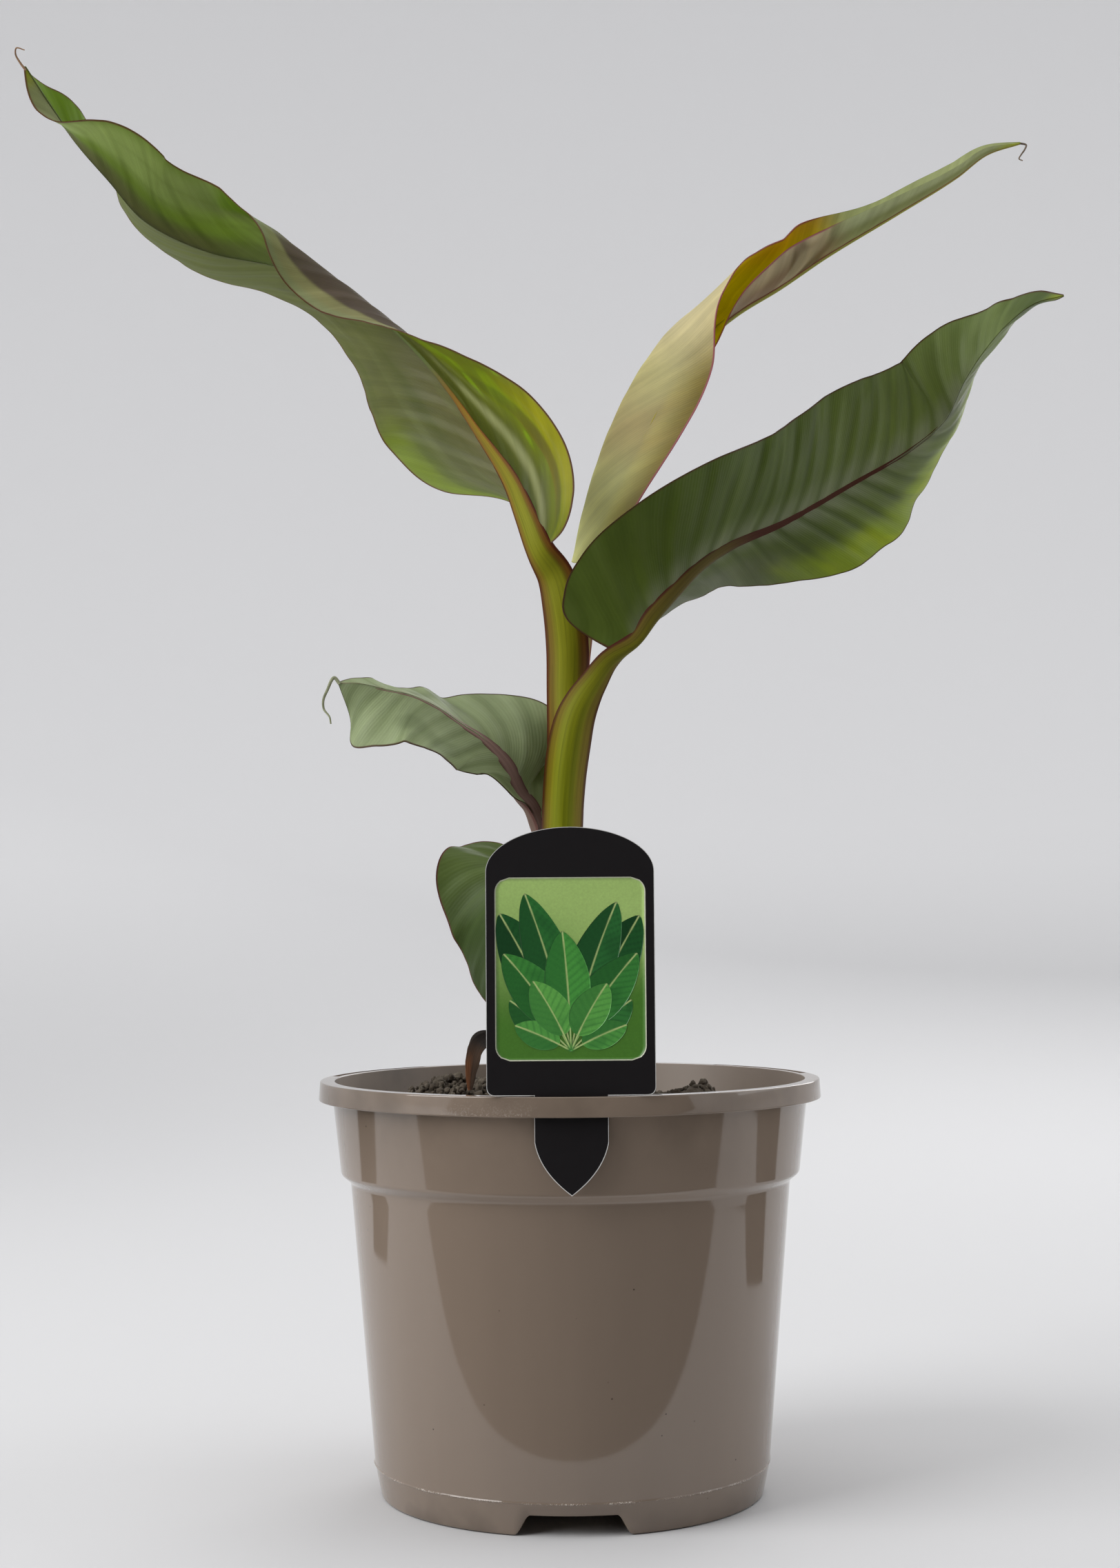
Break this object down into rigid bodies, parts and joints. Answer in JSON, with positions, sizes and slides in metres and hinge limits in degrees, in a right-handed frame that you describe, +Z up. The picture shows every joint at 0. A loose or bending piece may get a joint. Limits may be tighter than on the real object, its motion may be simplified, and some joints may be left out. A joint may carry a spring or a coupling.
{
  "type": "potted banana plant",
  "caption": "Young banana plant with five leaves on a short stem, in a round tapered plastic nursery pot filled with compost, with an arched plant label.",
  "frame": {"origin": "middle of the pot's flat underside", "axes": "+Z up along the pot's axis, -Y toward the front with the label, +X to the right seen from the front"},
  "size_m": [0.4212, 0.19, 0.5588],
  "materials": {
    "pot_plastic": "taupe moulded plastic, smooth and softly glossy",
    "compost": "dark brown crumbly compost",
    "label_card": "near-black printed plastic card",
    "stem": "fresh olive-green leaf sheaths",
    "stalk": "fresh olive leaf stalk with red-brown edges",
    "dry_sheath": "withered brown leaf sheath",
    "leaf_green": "satin green leaf with a purple-brown underside",
    "leaf_pale": "pale yellow-green young leaf",
    "leaf_dark": "satin dark green leaf with a dark red rib",
    "leaf_grey": "grey-green leaf underside with a dull purple rib",
    "leaf_small": "small green leaf"
  },
  "bodies": {
    "root": {"pot": "pot_plastic", "compost": "compost", "label": "label_card", "stem": "stem", "old_sheath": "dry_sheath", "leaf_a_stalk": "stalk", "leaf_b_stalk": "stalk", "leaf_c_stalk": "stalk", "leaf_d_stalk": "stalk", "leaf_e_stalk": "stalk", "leaf_a_blade": "leaf_green", "leaf_b_blade": "leaf_pale", "leaf_c_blade": "leaf_dark", "leaf_d_blade": "leaf_grey", "leaf_e_blade": "leaf_small"}
  },
  "joints": []
}
